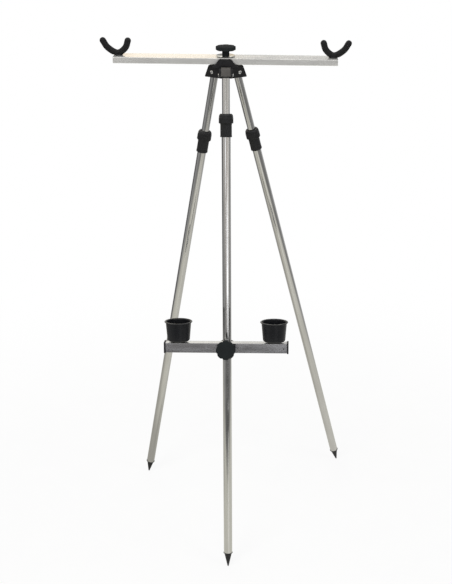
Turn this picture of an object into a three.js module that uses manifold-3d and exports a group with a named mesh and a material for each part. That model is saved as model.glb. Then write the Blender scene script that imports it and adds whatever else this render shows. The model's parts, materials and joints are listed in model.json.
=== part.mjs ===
import * as THREE from 'three';
import { mergeVertices } from 'three/addons/utils/BufferGeometryUtils.js';
import Module from 'manifold-3d';

// Surf rod tripod: three telescopic legs on a hinged head, a top bar with two rod rests,
// and a bar with two rod butt cups clamped to the front leg. Millimetres, +Z up.

const wasm = await Module();
wasm.setup();

// Clearances
const seatGap = 0.3;
const runningGap = 0.3;
const pinGap = 0.2;
const overrun = 5;

// Leg setting: where each leg points, how far it is spread, how much upper tube it shows,
// and how far the ears of its clevis reach and drop at their outer corner. The saddle with
// its bar stands turned a little against the legs.
const pivotHeight = 1243;
const saddleTurn = -2.6;
const pivotRadius = 30;
const frontShown = 92;
const sideShown = 158;
const frontEar = { reach: 44, drop: 2.4 };
const sideEar = { reach: 50.5, drop: 13 };
const legs = [
  { name: 'front', azimuth: -90, splay: 12.8, shown: frontShown, ear: frontEar },
  { name: 'right', azimuth: 30, splay: 16, shown: sideShown, ear: sideEar },
  { name: 'left', azimuth: 150, splay: 11.2, shown: sideShown, ear: sideEar },
];

// Top bar: a wide, flat rectangular tube
const topBarLength = 541;
const topBarWidth = 48;
const topBarHeight = 15;
const topBarWall = 1.6;
const topBarCorner = 1.5;

// Head, measured from the leg pivots up
const headTop = 23.5;
const seatPlate = 6.5;
const seatHalfWidth = 30.5;
const roofThickness = 3.7;
const lipThickness = 4.7;
const lipTopHalfWidth = 14;
const lipStep = 1;
const lipCorner = 2;
const earThickness = 4.5;
const earTopReach = 38.5;
const hubDrop = 13;
const earCorner = 3;
const stopWall = 12.2;

// Leg hinge block and its pin
const blockWidth = 23;
const blockDepth = 24;
const blockRise = 19;
const blockDrop = 4;
const blockOuterRound = 10;
const blockInnerRound = 2;
const hingeGap = 0.4;
const collarDiameter = 23.5;
const collarHeight = 3;
const spigotLength = 30;
const pinDiameter = 6;
const pinHeadDiameter = 9;
const pinHeadHeight = 2;

// Leg tubes
const upperDiameter = 19;
const lowerDiameter = 22;
const tubeWall = 1.2;
const bushLength = 20;
const bushRing = 6;
const bushBore = 10;
const bushRoom = 188.5;

// Twist lock: a domed nut on a threaded body, squeezing a split collet on the upper tube
const nutDiameter = 35.5;
const nutHeight = 23;
const nutRound = 8;
const nutRoof = 3;
const bodyDiameter = 28.8;
const bodyLength = 32.5;
const neckDiameter = 26;
const neckHeight = 15;
const colletLength = 13;
const colletTopDiameter = 22;
const colletDiameter = 24;
const colletSlit = 2;
const nutThroat = 20.2;
const neckRoom = 2.5;
const mouthSlope = 2;
const gripRib = 0.6;

// Spiked foot
const footFlangeDiameter = 24;
const footFlange = 2.2;
const coneDiameter = 20;
const spikeLength = 40;
const tipRadius = 1.5;
const footSpigot = 25;

// Lobed clamping knob, the same moulding at the head and on the cup bar
const knobLobes = 8;
const knobRadius = 24.2;
const knobNotch = 2.2;
const knobStemDiameter = 17.6;
const knobStem = 14;
const knobRim = 8.5;
const knobDome = 1.6;
const knobEdge = 1.4;
const studDiameter = 8;
const studGrip = 18;

// Shares of the knob's radius and dome, where its top curves in
const domeShares = [0.72, 0.55, 0.35];

// Washers and captive nut of the head
const dishDiameter = 46;
const dishThickness = 1.6;
const dishRise = 1.2;
const hexAcross = 13;
const hexHeight = 6.5;
const studBelowNut = 6;

// Rod rest: a rubber covered fork on a round foot
const restInset = 11;
const restThickness = 15.4;
const restRise = 34.6;
const restOuterReach = 36.2;
const restInnerReach = 23.9;
const restSag = 5.4;
const restShift = 1;
const restOuterShares = [0.7, 0.44];
const restInnerShares = [0.74, 0.44];
const restFootDiameter = 21;
const restFootHeight = 4;
const restFootFloor = 1.5;
const restScrewDiameter = 5;
const restScrewHead = 9;
const restScrewHeadHeight = 3;
const restScrewLength = 12;

// Cup bar: a square tube in front of the front leg
const cupBarDrop = 668;
const cupBarTurn = -3.3;
const cupBarLength = 303;
const cupBarSide = 25;
const cupBarWall = 1.5;
const cupBarCorner = 1.5;
const capOverhang = 1.5;
const capThickness = 4;
const capSpigot = 12;

// Clamp of the cup bar on the leg
const linerWall = 1.5;
const linerLength = 18;
const linerFlange = 1.5;
const linerSlit = 2;
const ringWall = 4.2;
const ringLength = 14;
const ringFace = 3.2;
const bracketLength = 72;
const screwWasherDiameter = 20;
const screwWasherThickness = 1.5;

// Rod butt cup
const cupInset = 32;
const cupSpacing = cupBarLength - 2 * cupInset;
const cupHeight = 49.5;
const cupRimDiameter = 70;
const cupMouthDiameter = 63.5;
const cupBaseDiameter = 56;
const cupChamfer = 4;
const cupLip = 2.4;
const cupWall = 2.2;
const cupFloor = 7;
const padDiameter = 30;
const padThickness = 4;
const cupScrewDiameter = 5;
const cupScrewHead = 9;
const cupScrewHeadHeight = 3;
const cupScrewBite = 5;

// Facets round each kind of round piece
const tubeSides = 24;
const footSides = 14;
const hiddenSides = 16;
const lockSides = 20;
const cupSides = 24;
const smallSides = 12;
const hexSides = 6;
const cornerSegments = 3;
const eyeSegments = 5;

// Finishes
const blackPlastic = { color: 0x242426, roughness: 0.6, metalness: 0 };
const greyPlastic = { color: 0x4a4744, roughness: 0.65, metalness: 0 };
const rubber = { color: 0x1c1c1e, roughness: 0.85, metalness: 0 };
const aluminium = { color: 0xb9b8b4, roughness: 0.35, metalness: 1 };
const steel = { color: 0xc4c6c8, roughness: 0.25, metalness: 1 };

// Fits that follow from the sizes above
const upperBore = upperDiameter - 2 * tubeWall;
const lowerBore = lowerDiameter - 2 * tubeWall;
const topBarTop = headTop + topBarHeight;
const slotHalfWidth = blockWidth / 2 + hingeGap;
const clevisHalfWidth = slotHalfWidth + earThickness;
const collarTop = -blockDrop;
const upperTop = collarTop - collarHeight - seatGap;
const tubeTopDepth = nutHeight + seatGap + neckRoom;
const lipInner = topBarWidth / 2 + seatGap;
const lipOuter = lipInner + lipThickness;
const shortestLeg = Math.min(...legs.map(({ splay }) => footDepth(splay)));
const upperLength = shortestLeg - footSpigot - bushRoom - bushRing - seatGap + upperTop;
const cupScrewLength = cupBarWall + seatGap + padThickness + seatGap + cupScrewBite - seatGap;
const barRear = lowerDiameter / 2 + runningGap + linerWall + runningGap + ringFace + seatGap;
const barMiddle = barRear + cupBarSide / 2;
const barFront = barRear + cupBarSide;

const root = new THREE.Group();

function degrees(angle) {
  return THREE.MathUtils.degToRad(angle);
}

// How far down a leg from its pivot the foot's flange meets the lower tube
function footDepth(splay) {
  return (pivotHeight - tipRadius) / Math.cos(degrees(splay)) + tipRadius - spikeLength;
}

// Closed geometry with shared corners, no empty triangles, and its faces pointing out
function closed(geometry) {
  const plain = geometry.clone();
  plain.deleteAttribute('normal');
  plain.deleteAttribute('uv');
  const merged = mergeVertices(plain);
  const corners = [];
  let volume = 0;
  const [a, b, c] = [new THREE.Vector3(), new THREE.Vector3(), new THREE.Vector3()];
  for (let i = 0; i < merged.index.count; i += 3) {
    const face = [0, 1, 2].map((k) => merged.index.getX(i + k));
    if (new Set(face).size === 3) {
      corners.push(...face);
      a.fromBufferAttribute(merged.attributes.position, face[0]);
      b.fromBufferAttribute(merged.attributes.position, face[1]);
      c.fromBufferAttribute(merged.attributes.position, face[2]);
      volume += a.dot(b.cross(c));
    }
  }
  merged.setIndex(volume < 0 ? corners.reverse() : corners);
  return merged;
}

function toSolid(geometry) {
  const shape = closed(geometry);
  const vertProperties = new Float32Array(shape.attributes.position.array);
  const triVerts = new Uint32Array(shape.index.array);
  return new wasm.Manifold(new wasm.Mesh({ numProp: 3, vertProperties, triVerts }));
}

function fromSolid(solid) {
  const result = solid.getMesh();
  const geometry = new THREE.BufferGeometry();
  geometry.setAttribute('position', new THREE.BufferAttribute(result.vertProperties, 3));
  geometry.setIndex(new THREE.BufferAttribute(result.triVerts, 1));
  return geometry;
}

function join(...pieces) {
  return fromSolid(pieces.map(toSolid).reduce((whole, piece) => whole.add(piece)));
}

function cut(piece, ...tools) {
  return fromSolid(tools.map(toSolid).reduce((whole, tool) => whole.subtract(tool), toSolid(piece)));
}

// A profile of radius and height pairs turned about Z
function turned(profile, sides) {
  const points = profile.map(([radius, height]) => new THREE.Vector2(radius, height));
  return closed(new THREE.LatheGeometry(points, sides).rotateX(Math.PI / 2));
}

// A round bar about Z from one height to another
function rod(diameter, from, to, sides) {
  return turned([[0, from], [diameter / 2, from], [diameter / 2, to], [0, to]], sides);
}

// A round tube about Z from one height to another
function pipe(outer, bore, from, to, sides) {
  const [r, b] = [outer / 2, bore / 2];
  return turned([[b, from], [r, from], [r, to], [b, to], [b, from]], sides);
}

// A block given by its low and high corners
function block(low, high) {
  const size = high.map((value, axis) => value - low[axis]);
  const middle = high.map((value, axis) => (value + low[axis]) / 2);
  return new THREE.BoxGeometry(...size).translate(...middle);
}

// A polygon whose corners are rounded, each by its own radius
function roundedShape(corners) {
  const shape = new THREE.Shape();
  corners.forEach(([x, y, radius], i) => {
    const here = new THREE.Vector2(x, y);
    const before = new THREE.Vector2(...corners.at(i - 1));
    const after = new THREE.Vector2(...corners[(i + 1) % corners.length]);
    const start = here.clone().add(before.sub(here).setLength(radius));
    const end = here.clone().add(after.sub(here).setLength(radius));
    if (i === 0) {
      shape.moveTo(start.x, start.y);
    } else {
      shape.lineTo(start.x, start.y);
    }
    shape.quadraticCurveTo(here.x, here.y, end.x, end.y);
  });
  shape.closePath();
  return shape;
}

function roundedRectangle(width, height, radius) {
  const [w, h] = [width / 2, height / 2];
  return roundedShape([[w, -h, radius], [w, h, radius], [-w, h, radius], [-w, -h, radius]]);
}

// A flat shape extruded along Z from one height to another
function prism(shape, from, to, curveSegments = cornerSegments) {
  const options = { depth: to - from, bevelEnabled: false, curveSegments };
  return new THREE.ExtrudeGeometry(shape, options).translate(0, 0, from);
}

// A side outline of reach and height, extruded across Y about the middle
function slab(outline, width, curveSegments = cornerSegments) {
  const solid = prism(roundedShape(outline), -width / 2, width / 2, curveSegments);
  return solid.rotateX(Math.PI / 2);
}

// A rectangular tube along Y, open at both ends
function boxTube(length, width, height, wall, corner) {
  const shape = roundedRectangle(width, height, corner);
  const bore = roundedRectangle(width - 2 * wall, height - 2 * wall, corner / 2);
  shape.holes.push(new THREE.Path(bore.getPoints(cornerSegments).reverse()));
  return prism(shape, -length / 2, length / 2).rotateX(Math.PI / 2);
}

// A skin over a stack of rings with equal numbers of points, closed by a fan at each end
function loft(rings) {
  const count = rings[0].length;
  const points = rings.flat();
  const faces = [];
  for (let k = 0; k + 1 < rings.length; k += 1) {
    for (let i = 0; i < count; i += 1) {
      const j = (i + 1) % count;
      faces.push(k * count + i, k * count + j, (k + 1) * count + j);
      faces.push(k * count + i, (k + 1) * count + j, (k + 1) * count + i);
    }
  }
  for (const [ring, start] of [[rings[0], 0], [rings.at(-1), (rings.length - 1) * count]]) {
    const hub = points.length;
    const middle = ring.reduce((sum, point) => sum.add(point), new THREE.Vector3());
    points.push(middle.divideScalar(count));
    for (let i = 0; i < count; i += 1) {
      const j = (i + 1) % count;
      faces.push(...(start === 0 ? [hub, start + j, start + i] : [hub, start + i, start + j]));
    }
  }
  const geometry = new THREE.BufferGeometry().setFromPoints(points);
  geometry.setIndex(faces);
  return closed(geometry);
}

function add(parent, name, geometry, finish) {
  const flat = geometry.index ? geometry.toNonIndexed() : geometry;
  flat.computeVertexNormals();
  const mesh = new THREE.Mesh(flat, new THREE.MeshStandardMaterial(finish));
  mesh.name = name;
  parent.add(mesh);
  return mesh;
}

// Head: a saddle for the bar over three clevises, one for each leg
function headGeometry() {
  const clevisTop = headTop - seatPlate;
  const seat = block([-seatHalfWidth, -lipOuter, clevisTop], [seatHalfWidth, lipOuter, headTop]);
  const lipOutline = [
    [seatHalfWidth, clevisTop, lipCorner],
    [lipTopHalfWidth, topBarTop - lipStep, lipCorner],
    [-lipTopHalfWidth, topBarTop - lipStep, lipCorner],
    [-seatHalfWidth, clevisTop, lipCorner],
  ];
  const lips = [-1, 1].map((side) => {
    const lip = slab(lipOutline, lipThickness);
    return lip.translate(0, side * (lipInner + lipOuter) / 2, 0);
  });
  const clevises = [];
  const slots = [];
  for (const { azimuth, ear } of legs) {
    const outline = [
      [0, -hubDrop, earCorner],
      [ear.reach, -ear.drop, earCorner],
      [earTopReach, clevisTop, earCorner],
      [0, clevisTop, earCorner],
    ];
    clevises.push(slab(outline, 2 * clevisHalfWidth).rotateZ(degrees(azimuth)));
    const low = [stopWall, -slotHalfWidth, -hubDrop - overrun];
    const high = [ear.reach + overrun, slotHalfWidth, headTop - roofThickness];
    slots.push(block(low, high).rotateZ(degrees(azimuth)));
    const reach = clevisHalfWidth + overrun;
    const bore = rod(pinDiameter + 2 * pinGap, -reach, reach, smallSides);
    slots.push(bore.rotateX(Math.PI / 2).translate(pivotRadius, 0, 0).rotateZ(degrees(azimuth)));
  }
  const studBore = studDiameter + 2 * runningGap;
  const studHole = rod(studBore, -hubDrop - overrun, headTop + overrun, smallSides);
  const pocketFloor = headTop - hexHeight - seatGap;
  const pocket = rod(hexDiameter(hexAcross + 2 * seatGap), pocketFloor, headTop + overrun, hexSides);
  const saddle = [seat, ...lips, pocket].map((piece) => piece.rotateZ(degrees(saddleTurn)));
  return cut(join(...saddle.slice(0, -1), ...clevises), ...slots, studHole, pocket);
}

// Diameter over the corners of a hexagon, from its width across flats
function hexDiameter(across) {
  return across / Math.cos(Math.PI / 6);
}

function pinGeometry() {
  const half = clevisHalfWidth + seatGap;
  const [r, h] = [pinDiameter / 2, pinHeadDiameter / 2];
  const crown = half + pinHeadHeight;
  const edge = half + pinHeadHeight / 2;
  return turned([
    [0, -crown], [h / 2, -crown], [h, -edge], [h, -half], [r, -half],
    [r, half], [h, half], [h, edge], [h / 2, crown], [0, crown],
  ], smallSides).rotateX(Math.PI / 2);
}

// Hinge block: an eye between the clevis ears, a collar and a spigot in the upper tube
function hingeBlockGeometry() {
  const half = blockDepth / 2;
  const eye = slab([
    [-half, -blockDrop, blockInnerRound],
    [half, -blockDrop, blockInnerRound],
    [half, blockRise, blockOuterRound],
    [-half, blockRise - blockInnerRound, blockInnerRound],
  ], blockWidth, eyeSegments);
  const shoulder = collarTop - collarHeight;
  const spigot = upperBore / 2 - runningGap;
  const stem = turned([
    [0, shoulder - spigotLength], [spigot - pinGap, shoulder - spigotLength], [spigot, shoulder],
    [collarDiameter / 2, shoulder], [collarDiameter / 2, collarTop + blockDrop / 2],
    [0, collarTop + blockDrop / 2],
  ], footSides);
  const bore = rod(pinDiameter + 2 * pinGap, -blockWidth, blockWidth, smallSides);
  return cut(join(eye, stem), bore.rotateX(Math.PI / 2));
}

// Guide bush on the lower end of the upper tube, which runs inside the lower tube
function guideBushGeometry() {
  const spigot = upperBore / 2 - runningGap;
  const ring = lowerBore / 2 - runningGap / 2;
  return turned([
    [bushBore / 2, 0], [ring, 0], [ring, bushRing], [spigot, bushRing],
    [spigot, bushLength], [bushBore / 2, bushLength], [bushBore / 2, 0],
  ], smallSides);
}

// Lock body: a smooth sleeve glued on the lower tube, with a neck that the nut screws on
function lockBodyGeometry() {
  const bore = upperDiameter / 2 + runningGap;
  const seat = lowerDiameter / 2 + pinGap;
  const neck = neckDiameter / 2;
  const neckFoot = -nutHeight - seatGap;
  const neckTop = neckFoot + neckHeight;
  const bottom = neckFoot - bodyLength;
  const tubeTop = -tubeTopDepth + seatGap;
  const mouth = colletDiameter / 2 + runningGap;
  return turned([
    [seat, bottom], [bodyDiameter / 2, bottom], [bodyDiameter / 2, neckFoot],
    [neck, neckFoot], [neck, neckTop], [mouth, neckTop],
    [bore, tubeTop + mouthSlope], [bore, tubeTop], [seat, tubeTop], [seat, bottom],
  ], lockSides);
}

// Split collet, squeezed on the upper tube between the nut's roof and the neck's mouth
function colletGeometry() {
  const bore = upperDiameter / 2 + pinGap;
  const top = -nutRoof - seatGap;
  const ring = turned([
    [bore, top - colletLength / 2], [colletTopDiameter / 2, top - colletLength / 2],
    [colletTopDiameter / 2, top], [bore, top], [bore, top - colletLength / 2],
  ], hiddenSides);
  const low = [0, -colletSlit / 2, top - colletLength];
  const slit = block(low, [colletDiameter, colletSlit / 2, top + overrun]);
  return cut(ring, slit);
}

// Twist nut: a domed cap with fine grip ribs round its lower half
function lockNutGeometry() {
  const r = nutDiameter / 2;
  const throat = nutThroat / 2;
  const bottom = -nutHeight;
  const inner = neckDiameter / 2 + runningGap;
  const profile = [[inner, bottom], [r - gripRib, bottom], [r, bottom + 2 * gripRib], [r, -nutRound]];
  const domeSteps = 4;
  for (let i = 1; i <= domeSteps; i += 1) {
    const angle = (Math.PI / 2) * (i / domeSteps);
    const dome = r - (r - throat - nutRoof) * (1 - Math.cos(angle));
    profile.push([dome, -nutRound * (1 - Math.sin(angle))]);
  }
  profile.push([throat, 0], [throat, -nutRoof], [inner, -nutRoof], [inner, bottom]);
  return turned(profile, lockSides);
}

// Foot: a plug in the lower tube with a thin flange and a rounded spike, from the tube's end down
function footGeometry() {
  const plug = lowerBore / 2 - pinGap;
  const flange = footFlangeDiameter / 2;
  const profile = [[0, footSpigot], [plug - pinGap, footSpigot], [plug, 0], [flange, 0]];
  profile.push([flange, -footFlange / 2], [coneDiameter / 2, -footFlange]);
  const tipSteps = 2;
  const centre = -spikeLength + tipRadius;
  for (let i = 0; i <= tipSteps; i += 1) {
    const angle = (Math.PI / 2) * (i / tipSteps);
    profile.push([tipRadius * Math.cos(angle), centre - tipRadius * Math.sin(angle)]);
  }
  return turned(profile.reverse(), footSides);
}

// Knob: rings of lobes from the stem's end out to the rim and in over the dome
function knobGeometry() {
  const pointsPerLobe = 6;
  const count = knobLobes * pointsPerLobe;
  const stem = knobStemDiameter / 2;
  const rimTop = knobStem + knobRim;
  const levels = [
    { radius: stem, lobed: 0, height: 0 },
    { radius: stem, lobed: 0, height: knobStem },
    { radius: knobRadius - knobEdge, lobed: 1, height: knobStem },
    { radius: knobRadius, lobed: 1, height: knobStem + knobEdge },
    { radius: knobRadius, lobed: 1, height: rimTop - knobEdge },
    { radius: knobRadius - knobEdge, lobed: 1, height: rimTop },
    { radius: knobRadius * domeShares[0], lobed: 0, height: rimTop + knobDome * domeShares[1] },
    { radius: knobRadius * domeShares[2], lobed: 0, height: rimTop + knobDome },
  ];
  const rings = levels.map(({ radius, lobed, height }) => {
    return Array.from({ length: count }, (_, i) => {
      const angle = (2 * Math.PI * i) / count;
      const lobe = Math.abs(Math.cos((knobLobes * angle) / 2));
      const r = radius - lobed * knobNotch * (1 - lobe) ** 2;
      return new THREE.Vector3(r * Math.cos(angle), r * Math.sin(angle), height);
    });
  });
  const bore = rod(studDiameter + 2 * runningGap, -overrun, studGrip + runningGap, smallSides);
  return cut(loft(rings), bore);
}

// A block under a rod rest, up to a height
function underRest(height) {
  const block = new THREE.BoxGeometry(2 * restOuterReach, 2 * restThickness, restThickness);
  return block.translate(0, 0, height - restThickness / 2);
}

// Rod rest: a round rubber fork in the XZ plane, flat under its middle, leaning outwards (-X)
function restGeometry() {
  const outline = [
    [-restOuterReach, restRise],
    [-restOuterReach * restOuterShares[0], restSag + (restRise - restSag) * restOuterShares[1]],
    [-restShift, restSag],
    [restInnerReach * restInnerShares[0], restSag + (restRise - restSag) * restInnerShares[1]],
    [restInnerReach, restRise],
  ];
  const points = outline.map(([x, z]) => new THREE.Vector3(x, 0, z));
  const path = new THREE.CatmullRomCurve3(points, false, 'centripetal');
  const section = new THREE.Shape().absarc(0, 0, restThickness / 2, 0, 2 * Math.PI);
  const arm = new THREE.ExtrudeGeometry(section, { steps: 13, curveSegments: 5, extrudePath: path });
  const ends = [outline[0], outline.at(-1)].map(([x, z]) => {
    return new THREE.SphereGeometry(restThickness / 2, 10, 6).translate(x, 0, z);
  });
  const screwEnd = restScrewLength - topBarWall;
  const screw = rod(restScrewDiameter + 2 * runningGap, -overrun, screwEnd, smallSides);
  return cut(join(arm, ...ends), underRest(restFootFloor + seatGap), screw);
}

// Foot of the rod rest, hollowed to take the fork
function restFootGeometry() {
  const r = restFootDiameter / 2;
  const foot = turned([
    [0, 0], [r, 0], [r, restFootHeight / 2], [r - restFootHeight / 4, restFootHeight], [0, restFootHeight],
  ], hiddenSides);
  const trough = rod(restThickness + 2 * seatGap, -restFootDiameter, restFootDiameter, hiddenSides);
  const bed = cut(trough.rotateY(Math.PI / 2).translate(0, 0, restSag), underRest(restFootFloor));
  const hole = rod(restScrewDiameter + 2 * runningGap, -overrun, restFootHeight + overrun, smallSides);
  return cut(foot, bed, hole);
}

// A pan headed screw, its head below, pointing up
function screwGeometry(diameter, head, headHeight, length) {
  return turned([
    [0, -headHeight], [head / 4, -headHeight], [head / 2, -headHeight / 3], [head / 2, 0],
    [diameter / 2, 0], [diameter / 2, length], [0, length],
  ], smallSides);
}

function topBarGeometry() {
  const tube = boxTube(topBarLength, topBarWidth, topBarHeight, topBarWall, topBarCorner);
  const flat = tube.rotateZ(Math.PI / 2);
  const half = topBarHeight / 2 + overrun;
  const tools = [rod(studDiameter + 2 * runningGap, -half, half, smallSides)];
  for (const side of [-1, 1]) {
    const at = side * (topBarLength / 2 - restInset);
    tools.push(rod(restScrewDiameter + 2 * runningGap, 0, half, smallSides).translate(at, 0, 0));
    tools.push(rod(restScrewHead + 2 * runningGap, -half, 0, smallSides).translate(at, 0, 0));
  }
  return cut(flat, ...tools);
}

// Dished washer under the top knob
function dishGeometry() {
  const r = dishDiameter / 2;
  const hole = studDiameter / 2 + runningGap;
  const stem = knobStemDiameter / 2;
  return turned([
    [hole, 0], [stem, 0], [r, dishRise], [r, dishRise + dishThickness],
    [stem, dishThickness], [hole, dishThickness], [hole, 0],
  ], lockSides);
}

// Cup: tapered wall, chamfered base, turned-out lip, and a blind hole for its screw
function cupGeometry() {
  const base = cupBaseDiameter / 2;
  const mouth = cupMouthDiameter / 2;
  const rim = cupRimDiameter / 2;
  const under = cupHeight - cupLip;
  const hole = cupScrewDiameter / 2 + runningGap;
  return turned([
    [0, cupScrewBite], [hole, cupScrewBite], [hole, 0], [base - cupChamfer, 0],
    [base, cupChamfer], [mouth, under], [rim - cupLip / 3, under],
    [rim, cupHeight - cupLip / 2], [rim - cupLip / 2, cupHeight], [mouth - cupWall / 2, cupHeight],
    [mouth - cupWall, under], [base - cupWall + cupChamfer / 4, cupFloor + cupChamfer],
    [base - cupWall - cupChamfer, cupFloor], [0, cupFloor],
  ], cupSides);
}

function cupBarGeometry() {
  const tube = boxTube(cupBarLength, cupBarSide, cupBarSide, cupBarWall, cupBarCorner);
  const half = cupBarSide / 2 + overrun;
  const cross = rod(studDiameter + 2 * runningGap, -half, half, smallSides).rotateY(Math.PI / 2);
  const holes = [-1, 1].flatMap((side) => {
    const hole = rod(cupScrewDiameter + 2 * runningGap, 0, half, smallSides);
    const access = rod(cupScrewHead + 2 * runningGap, -half, 0, smallSides);
    return [hole, access].map((tool) => tool.translate(0, side * cupSpacing / 2, 0));
  });
  return cut(tube, cross, ...holes);
}

// End cap of the cup bar: a flange over the tube's end and a plug inside, pointing along +Y
function capGeometry() {
  const side = cupBarSide + 2 * capOverhang;
  const plugSide = cupBarSide - 2 * cupBarWall - 2 * pinGap;
  const flange = prism(roundedRectangle(side, side, 2 * cupBarCorner), 0, capThickness);
  const plug = prism(roundedRectangle(plugSide, plugSide, cupBarCorner), -capSpigot, capThickness / 2);
  return join(flange, plug).rotateX(-Math.PI / 2);
}

// Split nylon liner between the leg and the clamp ring, with a flange at each end
function linerGeometry() {
  const bore = lowerDiameter / 2 + runningGap;
  const outer = bore + linerWall;
  const flange = outer + linerFlange;
  const half = linerLength / 2;
  const inner = ringLength / 2 + seatGap;
  const sleeve = turned([
    [bore, -half], [flange, -half], [flange, -inner], [outer, -inner],
    [outer, inner], [flange, inner], [flange, half], [bore, half], [bore, -half],
  ], hiddenSides);
  const low = [-flange - overrun, -linerSlit / 2, -half - overrun];
  const slit = block(low, [0, linerSlit / 2, half + overrun]);
  return cut(sleeve, slit);
}

// Clamp ring: a band round the liner with a flat bracket against the back of the cup bar
function ringGeometry() {
  const bore = lowerDiameter / 2 + 2 * runningGap + linerWall;
  const half = ringLength / 2;
  const face = barRear - seatGap;
  const band = rod(2 * (bore + ringWall), -half, half, tubeSides);
  const plate = block([face - ringFace, -bracketLength / 2, -half], [face, bracketLength / 2, half]);
  const high = [face + bracketLength, bracketLength, bracketLength];
  const front = block([face, -bracketLength, -bracketLength], high);
  const hollow = rod(2 * bore, -half - overrun, half + overrun, tubeSides);
  const hole = rod(studDiameter + 2 * runningGap, 0, barFront, smallSides).rotateY(Math.PI / 2);
  return cut(join(band, plate), front, hollow, hole);
}

// Head, captive nut and hinge pins
const head = new THREE.Group();
head.position.z = pivotHeight;
root.add(head);
add(head, 'head_hub', headGeometry(), blackPlastic);
const hexNut = cut(
  rod(hexDiameter(hexAcross), -hexHeight, 0, hexSides),
  rod(studDiameter + 2 * pinGap, -hexHeight - overrun, overrun, smallSides),
);
hexNut.rotateZ(degrees(saddleTurn));
add(head, 'head_nut', hexNut, steel).position.z = headTop - seatGap;

// Top bar with its rod rests
const topBar = new THREE.Group();
topBar.position.z = headTop;
topBar.rotation.z = degrees(saddleTurn);
head.add(topBar);
add(topBar, 'top_bar', topBarGeometry(), aluminium).position.z = topBarHeight / 2;
for (const [name, side] of [['left', -1], ['right', 1]]) {
  const rest = new THREE.Group();
  rest.position.set(side * (topBarLength / 2 - restInset), 0, topBarHeight);
  rest.rotation.z = side < 0 ? 0 : Math.PI;
  topBar.add(rest);
  add(rest, `rest_foot_${name}`, restFootGeometry(), blackPlastic);
  add(rest, `rest_fork_${name}`, restGeometry(), rubber);
  const screw = screwGeometry(restScrewDiameter, restScrewHead, restScrewHeadHeight, restScrewLength);
  add(rest, `rest_screw_${name}`, screw, steel).position.z = -topBarWall - seatGap;
}

// Top knob, its stud and the dished washer
const clampStack = new THREE.Group();
clampStack.position.z = topBarHeight;
topBar.add(clampStack);
add(clampStack, 'top_washer', dishGeometry(), steel);
add(clampStack, 'top_knob', knobGeometry(), blackPlastic).position.z = dishThickness + seatGap;
const studTop = dishThickness + seatGap + studGrip;
const studFoot = -topBarHeight - hexHeight - studBelowNut;
add(clampStack, 'top_stud', rod(studDiameter, studFoot, studTop, smallSides), steel);

// Legs
const frames = {};
for (const { name, azimuth, splay, shown } of legs) {
  const pivot = new THREE.Group();
  pivot.position.set(pivotRadius, 0, 0);
  pivot.rotation.y = -degrees(splay);
  const turn = new THREE.Group();
  turn.rotation.z = degrees(azimuth);
  turn.add(pivot);
  head.add(turn);
  frames[name] = pivot;

  const pin = add(turn, `hinge_pin_${name}`, pinGeometry(), steel);
  pin.position.x = pivotRadius;

  add(pivot, `hinge_block_${name}`, hingeBlockGeometry(), greyPlastic);
  const upper = pipe(upperDiameter, upperBore, upperTop - upperLength, upperTop, tubeSides);
  add(pivot, `upper_tube_${name}`, upper, aluminium);
  const bush = add(pivot, `guide_bush_${name}`, guideBushGeometry(), blackPlastic);
  bush.position.z = upperTop - upperLength - seatGap - bushRing;

  const tubeEnd = seatGap - footDepth(splay);
  const lower = pipe(lowerDiameter, lowerBore, tubeEnd, -shown - tubeTopDepth, tubeSides);
  add(pivot, `lower_tube_${name}`, lower, aluminium);
  add(pivot, `lock_body_${name}`, lockBodyGeometry(), blackPlastic).position.z = -shown;
  add(pivot, `lock_collet_${name}`, colletGeometry(), greyPlastic).position.z = -shown;
  add(pivot, `lock_nut_${name}`, lockNutGeometry(), blackPlastic).position.z = -shown;
  add(pivot, `foot_${name}`, footGeometry(), blackPlastic).position.z = tubeEnd - seatGap;
}

// Cup bar, clamped to the front leg
const cupGroup = new THREE.Group();
cupGroup.position.z = -cupBarDrop;
cupGroup.rotation.z = degrees(cupBarTurn);
frames.front.add(cupGroup);
add(cupGroup, 'clamp_liner', linerGeometry(), greyPlastic);
add(cupGroup, 'clamp_ring', ringGeometry(), blackPlastic);
add(cupGroup, 'cup_bar', cupBarGeometry(), aluminium).position.x = barMiddle;
for (const [name, side] of [['left', -1], ['right', 1]]) {
  const cap = add(cupGroup, `cup_bar_cap_${name}`, capGeometry(), blackPlastic);
  cap.position.set(barMiddle, side * (cupBarLength / 2 + seatGap), 0);
  cap.rotation.z = side < 0 ? Math.PI : 0;
  const cup = new THREE.Group();
  cup.position.set(barMiddle, side * cupSpacing / 2, cupBarSide / 2);
  cupGroup.add(cup);
  const pad = pipe(padDiameter, cupScrewDiameter + 2 * runningGap, seatGap, padThickness, hiddenSides);
  add(cup, `cup_pad_${name}`, pad, rubber);
  add(cup, `cup_${name}`, cupGeometry(), blackPlastic).position.z = padThickness + seatGap;
  const screw = screwGeometry(cupScrewDiameter, cupScrewHead, cupScrewHeadHeight, cupScrewLength);
  add(cup, `cup_screw_${name}`, screw, steel).position.z = -cupBarWall - seatGap;
}

// Cup bar knob with its screw, which presses the liner on the leg
const cupClamp = new THREE.Group();
cupClamp.position.x = barFront + seatGap;
cupClamp.rotation.y = Math.PI / 2;
cupGroup.add(cupClamp);
const washer = pipe(screwWasherDiameter, studDiameter + 2 * runningGap, 0, screwWasherThickness, hiddenSides);
add(cupClamp, 'clamp_washer', washer, steel);
add(cupClamp, 'cup_knob', knobGeometry(), blackPlastic).position.z = screwWasherThickness + seatGap;
const screwFoot = lowerDiameter / 2 + linerWall + 2 * runningGap - barFront;
const clampScrew = rod(studDiameter, screwFoot, screwWasherThickness + seatGap + studGrip, smallSides);
add(cupClamp, 'clamp_screw', clampScrew, steel);

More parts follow.
